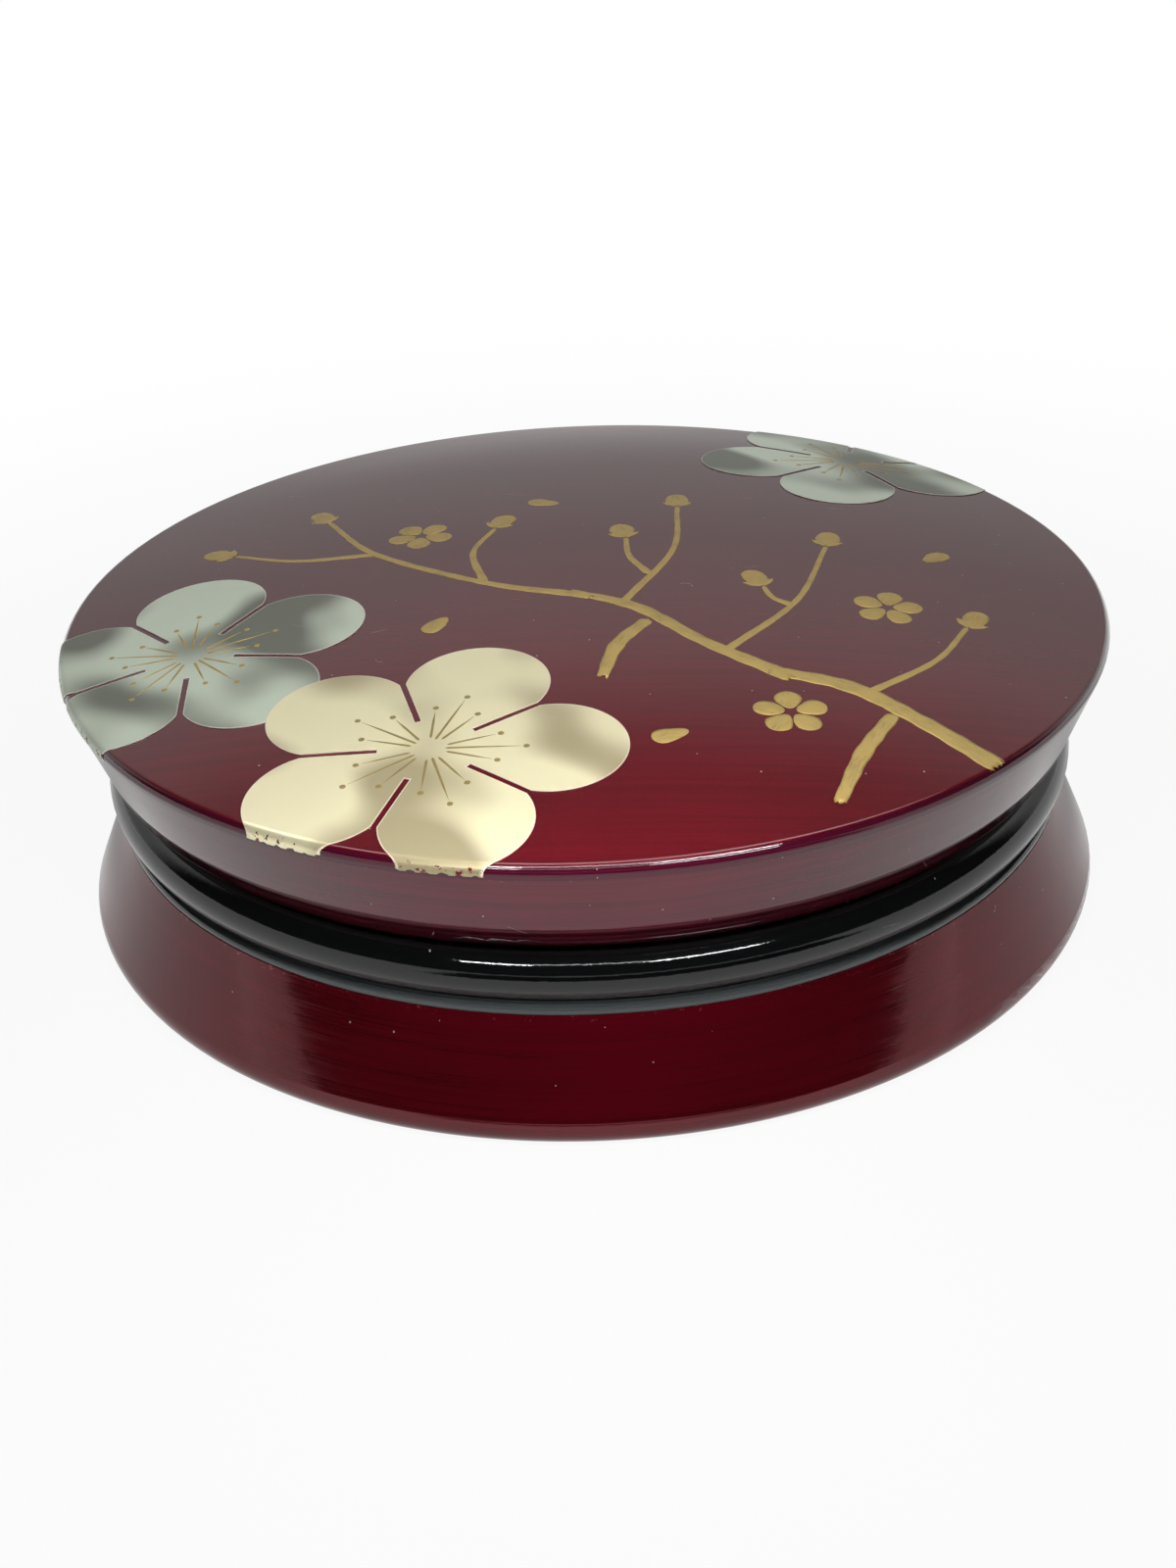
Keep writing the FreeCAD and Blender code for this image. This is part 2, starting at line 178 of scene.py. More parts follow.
class NodeSheet:
    """The nodes of one material or world."""

    def __init__(self, owner: Union[bpy.types.Material, bpy.types.World]) -> None:
        """Starts the owner's node tree from nothing."""
        self.owner = owner
        owner.use_nodes = True
        self.tree = owner.node_tree
        self.tree.nodes.clear()

    def node(self, kind: str, settings: dict[str, Any], sockets: dict[Union[int, str], Value],
             output: Union[int, str] = 0) -> Shade:
        """Adds a node.

        Args:
            kind: the node's type.
            settings: properties of the node, and the stops of a ramp.
            sockets: the inputs, each a number, a colour, a vector or a link.
            output: the output that is wanted.

        Returns:
            The wanted output.
        """
        made = self.tree.nodes.new(kind)
        for name, value in settings.items():
            if name == "stops":
                self._set_stops(made.color_ramp, value)
            else:
                setattr(made, name, value)
        for name, value in sockets.items():
            if isinstance(value, Shade):
                self.tree.links.new(value.socket, made.inputs[name])
            else:
                made.inputs[name].default_value = value
        return Shade(self, made, output)

    @staticmethod
    def _set_stops(ramp: bpy.types.ColorRamp, stops: Sequence[tuple[float, float]]) -> None:
        """Puts grey stops, each a place and a level, on a ramp."""
        while len(ramp.elements) > 1:
            ramp.elements.remove(ramp.elements[-1])
        for number, (place, level) in enumerate(stops):
            stop = ramp.elements[0] if number == 0 else ramp.elements.new(place)
            stop.position = place
            stop.color = (level, level, level, 1.0)

    def close(self, surface: Shade, kind: str = "ShaderNodeOutputMaterial") -> None:
        """Links a shader to the output of the tree."""
        end = self.tree.nodes.new(kind)
        self.tree.links.new(surface.socket, end.inputs["Surface"])

    def finish(self, height: Shade, sockets: dict[str, Value]) -> bpy.types.Material:
        """Closes a glossy material that has a small relief, in mm, and returns it."""
        bump = self.node("ShaderNodeBump", {}, {"Strength": 1.0, "Distance": MM, "Height": height})
        self.close(self.node("ShaderNodeBsdfPrincipled", {}, {**sockets, "Normal": bump}))
        return self.owner

    def maths(self, operation: str, *values: Value) -> Shade:
        """A Math node on up to three values."""
        return self.node("ShaderNodeMath", {"operation": operation}, dict(enumerate(values)))

    def vector(self, x: Value, y: Value, z: Value = 0.0) -> Shade:
        """A vector from three values."""
        return self.node("ShaderNodeCombineXYZ", {}, {0: x, 1: y, 2: z})

    def vector_maths(self, operation: str, *values: Value) -> Shade:
        """A Vector Math node."""
        return self.node("ShaderNodeVectorMath", {"operation": operation}, dict(enumerate(values)))

    def scaled(self, vector: Shade, factor: Value) -> Shade:
        """The vector times a number."""
        return self.node("ShaderNodeVectorMath", {"operation": "SCALE"}, {0: vector, "Scale": factor})

    def blend(self, share: Value, first: Value, second: Value) -> Shade:
        """A colour between two colours."""
        sockets = {0: share, 6: self.opaque(first), 7: self.opaque(second)}
        return self.node("ShaderNodeMix", {"data_type": "RGBA"}, sockets, 2)

    @staticmethod
    def opaque(colour: Value) -> Value:
        """The colour with an alpha of 1, as colour sockets want it."""
        return colour if isinstance(colour, Shade) else (*colour, 1.0)

    def between(self, share: Value, first: Value, second: Value) -> Shade:
        """A number between two numbers."""
        return self.node("ShaderNodeMix", {"data_type": "FLOAT"}, {0: share, 2: first, 3: second})

    def noise(self, place: Shade, noise: Noise) -> Shade:
        """The noise at a point."""
        return self.node("ShaderNodeTexNoise", {"noise_dimensions": "3D"}, {
            "Vector": place, "Scale": noise.scale, "Detail": noise.detail, "Roughness": noise.roughness})

    def place(self) -> Shade:
        """The point on the piece, in millimetres."""
        return self.scaled(self.node("ShaderNodeTexCoord", {}, {}, "Object"), PER_MM)

    def faces_inside(self, place: Shade) -> Shade:
        """The mask of the faces that look at the box's axis or straight down."""
        x, y, _ = place.parts()
        across, ahead, up = self.node("ShaderNodeNewGeometry", {}, {}, "Normal").parts()
        outward = (across * x + ahead * y) / span(x, y).most(1.0)
        return outward.rise(*FACES_INWARD).most(up.rise(*FACES_DOWN))

    def ray(self, kind: str) -> Shade:
        """Whether the ray is of a kind."""
        return self.node("ShaderNodeLightPath", {}, {}, kind)


def span(x: Shade, y: Shade) -> Shade:
    """The length of a vector with these two parts."""
    return (x * x + y * y).root()


def reach_of(place: Shade) -> Shade:
    """The distance of a point from the box's axis."""
    x, y, _ = place.parts()
    return span(x, y)


def pointing(angle: float) -> Vector:
    """The level direction at an angle in radians."""
    return Vector((math.cos(angle), math.sin(angle)))


# Dust, lint and scratches


@dataclass(frozen=True)
class Litter:
    """Tiny light marks scattered over a surface, at most one in each cell of a grid.

    Attributes:
        pitch: size of a cell, mm.
        share: share of the cells that hold a mark.
        seed: moves the pattern.
    """

    pitch: float
    share: float
    seed: float

    def cell(self, sheet: NodeSheet, flat: Shade) -> tuple[Shade, Shade, Shade, Shade, Shade]:
        """Finds the cell of a point.

        Args:
            sheet: the nodes of the finish.
            flat: the surface laid out flat, in mm.

        Returns:
            The point's x and y from the middle of its mark, a mask of the cells that hold one, and two
            numbers from 0 to 1 that differ from cell to cell.
        """
        moved = (self.seed, self.seed, 0.0)
        spot = sheet.vector_maths("ADD", sheet.scaled(flat, 1.0 / self.pitch), moved)
        found = sheet.node("ShaderNodeTexVoronoi", {"voronoi_dimensions": "2D"},
                           {"Vector": spot, "Scale": 1.0})
        offset = sheet.vector_maths("SUBTRACT", spot, found.output("Position"))
        x, y, _ = sheet.scaled(offset, self.pitch).parts()
        chance, first, second = found.output("Color").parts()
        return x, y, chance.maths("LESS_THAN", self.share), first, second

    def mask(self, sheet: NodeSheet, flat: Shade) -> Shade:
        """The mask of the marks."""
        raise NotImplementedError


@dataclass(frozen=True)
class Dust(Litter):
    """Round specks: the largest radius in mm, and the least and the core as shares of it."""

    radius: float = 0.2
    least: float = 0.35
    core: float = 0.6

    def mask(self, sheet: NodeSheet, flat: Shade) -> Shade:
        """The mask of the specks."""
        x, y, held, first, _ = self.cell(sheet, flat)
        distance = span(x, y) / (self.least + (1 - self.least) * first)
        return distance.rise(self.radius, self.core * self.radius) * held


@dataclass(frozen=True)
class Lint(Litter):
    """Short curled hairs, in mm, on a ring that is open where the cosine of the angle is outside the gap."""

    curl: float = 1.4
    curl_shares: Range = (0.6, 0.8)
    thickness: float = 0.09
    core: float = 0.4
    gap: Range = (0.45, 0.65)

    def mask(self, sheet: NodeSheet, flat: Shade) -> Shade:
        """The mask of the hairs."""
        x, y, held, first, second = self.cell(sheet, flat)
        least, more = self.curl_shares
        off = (span(x, y) - self.curl * (least + more * first)).size()
        heading = sheet.maths("ARCTAN2", y, x) + FULL_TURN * second
        ring = off.rise(self.thickness, self.core * self.thickness)
        return ring * heading.maths("COSINE").rise(*self.gap) * held


@dataclass(frozen=True)
class Scratches(Litter):
    """Fine straight scratches, with half sizes in mm and the spread of their headings in radians."""

    length: float = 3.0
    full: float = 0.4
    thickness: float = 0.06
    core: float = 0.3
    spread: float = 1.8
    faintest: float = 0.4

    def mask(self, sheet: NodeSheet, flat: Shade) -> Shade:
        """The mask of the scratches."""
        x, y, held, first, second = self.cell(sheet, flat)
        heading = (second - 0.5) * self.spread
        cosine, sine = heading.maths("COSINE"), heading.maths("SINE")
        along = (x * cosine + y * sine).size().rise(self.length, self.full * self.length)
        across = (y * cosine - x * sine).size().rise(self.thickness, self.core * self.thickness)
        return across * along * (self.faintest + (1 - self.faintest) * first) * held


def strongest(masks: Iterable[Shade]) -> Shade:
    """The largest of several masks at each point."""
    first, *others = masks
    for mask in others:
        first = first.most(mask)
    return first


# Colours

RED_GROUND: Rgb = (0.140, 0.0022, 0.0085)
RED_DEEP: Rgb = (0.108, 0.0015, 0.0060)
# Painted shade: a darker, more magenta red for the rim round and the skirt's heel.
PAINTED_SHADE_RED: Rgb = (0.060, 0.0016, 0.0130)
SIDE_RED: Rgb = (0.112, 0.0034, 0.0150)
SIDE_DEEP: Rgb = (0.074, 0.0024, 0.0105)
FOOT_RED: Rgb = (0.115, 0.0012, 0.0070)
FOOT_DEEP: Rgb = (0.082, 0.0008, 0.0048)
WORN_RED: Rgb = (0.34, 0.09, 0.10)
BLACK_GROUND: Rgb = (0.0028, 0.0032, 0.0034)
BLACK_DEEP: Rgb = (0.0018, 0.0021, 0.0022)
INSIDE_BLACK: Rgb = (0.0070, 0.0065, 0.0065)
# Painted reflection: the grey of the floor as the black beads mirror it.
FLOOR_REFLECTION_GREY: Rgb = (0.046, 0.052, 0.053)
DUST_RED: Rgb = (0.55, 0.42, 0.40)
DUST_GREY: Rgb = (0.30, 0.30, 0.30)


# Finishes


@dataclass(frozen=True)
class Band:
    """A colour that sets in between two heights in mm; a share above 1 makes it set in faster."""

    heights: Range
    share: float
    colour: Rgb

    def over(self, sheet: NodeSheet, place: Shade, colour: Shade) -> Shade:
        """The colour with the band over it."""
        return sheet.blend(place.parts()[2].rise(*self.heights) * self.share, colour, self.colour)


@dataclass(frozen=True)
class TurnedRim:
    """The rounded band round the lid's edge, with a flattened part in it, in mm and radians; its colour is
    painted shade, darker and more magenta for the dark surroundings the rounding mirrors.
    """

    start: float = 118.25
    onset: float = 0.6
    rounding: float = 1.75
    glossy: Range = (64.9, 65.3)
    lean: float = 0.94
    flat: float = 0.3
    flattening: float = 0.84
    polish: float = 0.3
    litter_share: float = 0.6
    grit: Noise = Noise(0.7, roughness=0.6)
    grit_height: float = 0.03
    colour: Rgb = PAINTED_SHADE_RED

    def mask(self, place: Shade) -> Shade:
        """The mask of the band."""
        return reach_of(place).rise(self.start, self.start + self.onset)

    def relief(self, sheet: NodeSheet, place: Shade) -> Shade:
        """The height of the flattened part and of the grit."""
        sweep = ((reach_of(place) - self.start) / self.rounding).maths("ARCCOSINE").least(math.pi / 2)
        off = ((sweep - self.lean) * self.rounding).most(-self.flat)
        rounded = off * off * (self.flattening / (2 * self.rounding))
        return rounded + self.mask(place) * sheet.noise(place, self.grit) * self.grit_height


@dataclass(frozen=True)
class Lacquer:
    """Clear brushed lacquer over a coloured ground, with all lengths in mm.

    Attributes:
        side: how the surface is laid out.
        radius: radius at which a round side is laid out.
        inside_colour: colour of the faces that look inwards or down.
        worn_edges: heights of the turned edges where the coat is worn thin.
        heel: height at which the lower edge starts to turn in.
        depth: share of the light that the pigment mirrors in its own colour.
        density: refractive index of the coat.
        fine: how often a fine mark of the brush changes along and across, per mm.
        shares: how much clouds and brush marks change the colour.
    """

    name: str
    colour: Rgb
    deep_colour: Rgb
    side: Side
    radius: float = 110.0
    inside_colour: Optional[Rgb] = None
    worn_edges: tuple[float, ...] = ()
    worn_width: Range = (1.1, 0.2)
    worn_range: Range = (0.60, 0.70)
    worn_cover: float = 0.8
    chips: Noise = Noise(0.9, 3.0, 0.7)
    bands: tuple[Band, ...] = ()
    rim: Optional[TurnedRim] = None
    heel: Optional[float] = None
    heel_bend: float = 0.07
    heel_reach: float = 3.0
    depth: float = 0.1
    density: float = 1.5
    fine: Range = (0.014, 2.4)
    broad: Range = (0.010, 0.38)
    slant: float = 0.03
    hairs: Noise = Noise(1.0, 3.0, 0.6)
    cloud: Noise = Noise(0.028, 3.0, 0.55)
    peel: Noise = Noise(0.22)
    grit: Noise = Noise(1.1)
    shares: Range = (0.30, 0.35)
    tone_range: Range = (0.38, 0.62)
    roughness: float = 0.045
    cloud_roughness: float = 0.03
    streak_roughness: float = 0.05
    streak_range: Range = (0.45, 0.7)
    litter_roughness: float = 0.35
    coat_roughness: float = 0.05
    streak_height: float = 0.0022
    swell_height: float = 0.0
    peel_height: float = 0.016
    grit_height: float = 0.0
    litter_height: float = 0.02
    litter_cover: float = 0.75
    litter_colour: Rgb = DUST_RED
    litter: tuple[Litter, ...] = (
        Dust(pitch=11.0, share=0.30, seed=3.1, radius=0.24),
        Lint(pitch=36.0, share=0.24, seed=8.4),
        Scratches(pitch=27.0, share=0.20, seed=5.7),
    )

    def laid_flat(self, sheet: NodeSheet, place: Shade) -> Shade:
        """The surface laid out flat, in mm."""
        x, y, z = place.parts()
        if self.side is Side.TOP:
            return sheet.vector(x, y)
        return sheet.vector(sheet.maths("ARCTAN2", x, -1.0 * y) * self.radius, z)

    def streaks(self, sheet: NodeSheet, place: Shade, marks: Range) -> Shade:
        """Long marks of the brush, straight over the top and level round the sides.

        Args:
            sheet: the nodes of the finish.
            place: the point, in mm.
            marks: how often a mark changes along and across, per mm.

        Returns:
            A value around 0.5.
        """
        x, y, z = place.parts()
        along, across = marks
        if self.side is Side.TOP:
            laid = sheet.vector(x * along, (y + self.slant * x) * across)
        else:
            lap, turn = span(x, y), along * self.radius
            laid = sheet.vector(x / lap * turn, y / lap * turn, z * across)
        return sheet.noise(laid, self.hairs)

    def wear(self, sheet: NodeSheet, place: Shade) -> Shade:
        """The mask of the small worn spots along the turned edges."""
        _, _, z = place.parts()
        chips = sheet.noise(place, self.chips).rise(*self.worn_range)
        return chips * strongest((z - edge).size().rise(*self.worn_width) for edge in self.worn_edges)

    def coloured(self, sheet: NodeSheet, place: Shade, tone: Shade, marked: Shade) -> Shade:
        """The colour of the ground with all that lies over it.

        Args:
            sheet: the nodes of the finish.
            place: the point, in mm.
            tone: 0 where the coat is thick, 1 where the ground shows.
            marked: the mask of the litter.

        Returns:
            The colour.
        """
        colour = sheet.blend(tone, self.deep_colour, self.colour)
        colour = sheet.blend(marked * self.litter_cover, colour, self.litter_colour)
        if self.worn_edges:
            colour = sheet.blend(self.wear(sheet, place) * self.worn_cover, colour, WORN_RED)
        if self.inside_colour:
            colour = sheet.blend(sheet.faces_inside(place), colour, self.inside_colour)
        for band in self.bands:
            colour = band.over(sheet, place, colour)
        return colour

    def material(self) -> bpy.types.Material:
        """Builds the material."""
        sheet = NodeSheet(bpy.data.materials.new(self.name))
        place = sheet.place()
        flat = self.laid_flat(sheet, place)
        marked = strongest(kind.mask(sheet, flat) for kind in self.litter)
        fine = self.streaks(sheet, place, self.fine)
        broad = self.streaks(sheet, place, self.broad)
        cloud = sheet.noise(place, self.cloud)
        cloudy, brushed = self.shares
        tone = (cloudy * cloud + brushed * (broad + fine)).rise(*self.tone_range)
        colour = self.coloured(sheet, place, tone, marked)
        rough = self.roughness + self.cloud_roughness * cloud + self.litter_roughness * marked
        rough = rough + self.streak_roughness * fine.rise(*self.streak_range)
        height = fine * self.streak_height + broad * self.swell_height + marked * self.litter_height
        height = height + sheet.noise(place, self.peel) * self.peel_height
        if self.grit_height:
            height = height + sheet.noise(place, self.grit) * self.grit_height
        if self.heel:
            turned = (self.heel - place.parts()[2]).most(0.0)
            height = height - turned * turned.least(self.heel_reach) * self.heel_bend
        coat: Value = 0.0
        if self.rim:
            band = self.rim.mask(place)
            coat = band * place.parts()[2].rise(*self.rim.glossy)
            # Painted shade: the rim round turns darker and more magenta, for the dark surroundings it
            # mirrors.
            colour = sheet.blend(band * (1.0 - self.rim.litter_share * marked), colour, self.rim.colour)
            rough = rough * (1.0 - self.rim.polish * band)
            height = height + self.rim.relief(sheet, place)
        return sheet.finish(height, {
            "Base Color": colour, "Roughness": rough, "Metallic": self.depth, "IOR": self.density,
            "Coat Weight": coat, "Coat Roughness": self.coat_roughness})


@dataclass(frozen=True)
class Bloom:
    """A foil blossom on the lid, in mm and degrees; the shares are of its reach, to a petal's middle."""

    node: str
    distance: float
    bearing: float
    reach: float
    turn: float
    petals: int = 5
    petal_share: float = 0.61
    heart_share: float = 0.66
    slit_width: float = 1.3
    slit_start_share: float = 0.42

    @property
    def middle(self) -> Vector:
        """The blossom's middle."""
        return pointing(math.radians(self.bearing)) * self.distance

    def headings(self) -> list[float]:
        """The direction of each petal, in radians."""
        return [math.radians(self.turn) + FULL_TURN * number / self.petals for number in range(self.petals)]

    def depth(self, sheet: NodeSheet, place: Shade) -> Shade:
        """How far a point lies inside the blossom's outline, in mm."""
        x, y, _ = place.parts()
        x, y = x - self.middle.x, y - self.middle.y
        sector = FULL_TURN / self.petals
        far = span(x, y)
        heading = (sheet.maths("ARCTAN2", y, x) - math.radians(self.turn)) / sector + 0.5
        heading = (heading.maths("FLOORED_MODULO", 1.0) - 0.5) * sector
        along, across = far * heading.maths("COSINE"), far * heading.maths("SINE")
        petal = self.petal_share * self.reach - span(along - self.reach, across)
        heart = self.heart_share * self.reach - far
        slit = far * (sector / 2 - heading.size()).maths("SINE") - self.slit_width / 2
        slit_reach = self.slit_start_share * self.reach - far
        return petal.most(heart).least(slit.most(slit_reach))


@dataclass(frozen=True)
class MetalFoil:
    """Thin metal foil, laid on and rubbed down, and rubbed through at the lid's edge, in mm; its broad dark
    bands are painted reflection of dark surroundings.
    """

    name: str
    colour: Rgb
    dark_reflection_colour: Rgb
    edge_colour: Rgb
    edge: Range = (0.3, 0.09)
    edge_cover: float = 0.7
    metallic: float = 0.6
    edge_loss: float = 0.3
    bare_metallic: float = 0.3
    roughness: float = 0.34
    dark_reflection_roughness: float = 0.08
    worn_roughness: float = 0.2
    bands: Noise = Noise(0.03, 1.0, 0.4)
    skew: tuple[float, float, float] = (0.5, 0.8, -0.3)
    dark_reflection_range: Range = (0.44, 0.60)
    grain: Noise = Noise(1.3)
    band_height: float = 0.25
    grain_height: float = 0.006
    worn_depth: float = 0.01
    worn_cover: float = 0.4
    rub_depth: float = 0.05
    spots: Noise = Noise(0.55, 4.0, 0.7)
    rim: float = 120.0
    rub_rise: Range = (-1.6, 0.1)
    rub_gain: float = 0.17
    rub_range: Range = (0.66, 0.70)
    rub_start: Range = (-3.0, -1.0)
    scratches: tuple[Litter, ...] = (
        Scratches(pitch=9.0, share=0.35, seed=2.2, length=2.5, thickness=0.05),
        Dust(pitch=7.0, share=0.25, seed=6.9, radius=0.16),
    )

    def material(self, bloom: Bloom) -> bpy.types.Material:
        """Builds the material for one blossom."""
        sheet = NodeSheet(bpy.data.materials.new(f"{self.name}_{bloom.node}"))
        place = sheet.place()
        x, y, _ = place.parts()
        shift, stretch, lean = self.skew
        band = sheet.noise(sheet.vector(x + shift * y, stretch * y + lean * x), self.bands)
        # Painted reflection: broad soft bands where the foil turns darker, for the dark surroundings it
        # mirrors.
        dark_reflection = band.rise(*self.dark_reflection_range)
        worn = strongest(kind.mask(sheet, place) for kind in self.scratches)
        edge = bloom.depth(sheet, place).rise(*self.edge)
        bare = self.rubbed(sheet, place)
        colour = sheet.blend(dark_reflection, self.colour, self.dark_reflection_colour)
        colour = sheet.blend(worn * self.worn_cover, colour, self.edge_colour)
        colour = sheet.blend(edge * self.edge_cover, colour, self.edge_colour)
        colour = sheet.blend(bare, colour, RED_GROUND)
        rough = self.roughness + self.dark_reflection_roughness * dark_reflection + self.worn_roughness * (worn - bare)
        height = band * self.band_height + sheet.noise(place, self.grain) * self.grain_height
        height = height - worn * self.worn_depth - bare * self.rub_depth
        metal = self.metallic - self.edge_loss * edge - (self.metallic - self.bare_metallic) * bare
        return sheet.finish(height, {"Base Color": colour, "Roughness": rough, "Metallic": metal})

    def rubbed(self, sheet: NodeSheet, place: Shade) -> Shade:
        """The mask of the spots on the lid's edge where the foil is rubbed through."""
        inside = reach_of(place) - self.rim
        thinness = sheet.noise(place, self.spots) + inside.rise(*self.rub_rise) * self.rub_gain
        return thinness.rise(*self.rub_range) * inside.rise(*self.rub_start)


@dataclass(frozen=True)
class GoldPaint:
    """Gold powder paint, put on with a brush, in mm, thin where the ground shows through."""

    name: str
    colour: Rgb
    thin_colour: Rgb
    layer: str = "brushing"
    marks: Range = (0.25, 4.0)
    hairs: Noise = Noise(1.0, roughness=0.6)
    grain: Noise = Noise(2.5, roughness=0.6)
    patches: Noise = Noise(0.2)
    hair_share: float = 0.65
    thin_range: Range = (0.48, 0.72)
    hair_height: float = 0.03
    grain_height: float = 0.02
    roughness: float = 0.42
    grain_roughness: float = 0.15
    metallic: float = 0.45
    thin_loss: float = 0.2

    def material(self) -> bpy.types.Material:
        """Builds the material."""
        sheet = NodeSheet(bpy.data.materials.new(self.name))
        place = sheet.place()
        x, y, _ = sheet.node("ShaderNodeUVMap", {"uv_map": self.layer}, {}).parts()
        along, across = self.marks
        hairs = sheet.noise(sheet.vector(x * along, y * across), self.hairs)
        grain = sheet.noise(place, self.grain)
        patches = (1 - self.hair_share) * sheet.noise(place, self.patches)
        thin = (self.hair_share * hairs + patches).rise(*self.thin_range)
        return sheet.finish(hairs * self.hair_height + grain * self.grain_height, {
            "Base Color": sheet.blend(thin, self.colour, self.thin_colour),
            "Roughness": self.roughness + self.grain_roughness * grain,
            "Metallic": self.metallic - self.thin_loss * thin})


PALE_GOLD = MetalFoil("pale_gold_foil", (0.93, 0.86, 0.56), (0.42, 0.36, 0.21), (0.98, 0.84, 0.68))
SILVER_GREEN = MetalFoil("silver_green_foil", (0.66, 0.74, 0.60), (0.17, 0.18, 0.14), (0.88, 0.84, 0.76))
GOLD_PAINT = GoldPaint("gold_powder_paint", (0.50, 0.35, 0.100), (0.27, 0.185, 0.050))
OLIVE_PAINT = GoldPaint("olive_gold_paint", (0.30, 0.225, 0.065), (0.15, 0.120, 0.035))


# The box


@dataclass
class Base:
    """The lower part: bowl, two beads and foot, with heights in mm."""

    body: str = "base"
    foot_edges: tuple[float, ...] = (0.6, 26.0)
    # Painted reflection: the lower parts of the black bead and string turn grey, for the floor they mirror.
    floor_reflection_bands: tuple[Band, ...] = (Band((33.2, 32.3), 0.75, FLOOR_REFLECTION_GREY), Band((31.5, 29.5), 1.4, FLOOR_REFLECTION_GREY))

    def dress(self) -> list[str]:
        """Gives the CAD nodes their finishes and returns their names."""
        black = Lacquer("black_lacquer_side", BLACK_GROUND, BLACK_DEEP, Side.ROUND, 112.0, depth=0.0,
                        bands=self.floor_reflection_bands, grit_height=0.016, litter_colour=DUST_GREY)
        red = Lacquer("red_lacquer_foot", FOOT_RED, FOOT_DEEP, Side.ROUND, 116.0, INSIDE_BLACK,
                      worn_edges=self.foot_edges, depth=0.45, density=1.65)
        inner = Lacquer("black_lacquer_inside", BLACK_GROUND, BLACK_DEEP, Side.TOP, depth=0.0,
                        litter_colour=DUST_GREY)
        for node, finish in (("bowl", inner), ("waist_bead", black), ("waist_string", black),
                             ("foot_skirt", red)):
            dress_node(node, finish.material())
        return frame["record"]["behaviour"]["bodies"][self.body]


def dress_node(node: str, material: bpy.types.Material) -> None:
    """Puts one material on all the slots of a CAD node."""
    for slot in frame["nodes"][node].material_slots:
        slot.material = material


@dataclass(frozen=True)
class Stroke:
    """One stroke of the brush.

    Attributes:
        points: its line, in mm from the lid's middle.
        widths: its widths, spread evenly along it, mm.
    """

    points: tuple[Point, ...]
    widths: tuple[float, ...]
    start: StrokeEnd = StrokeEnd.LOADED
    end: StrokeEnd = StrokeEnd.LOADED


def dab(root: Vector, reach: Vector, widths: Sequence[float], end: StrokeEnd = StrokeEnd.LOADED) -> Stroke:
    """A straight stroke from its root, as far as it reaches."""
    return Stroke((tuple(root), tuple(root + reach)), tuple(widths), end=end)


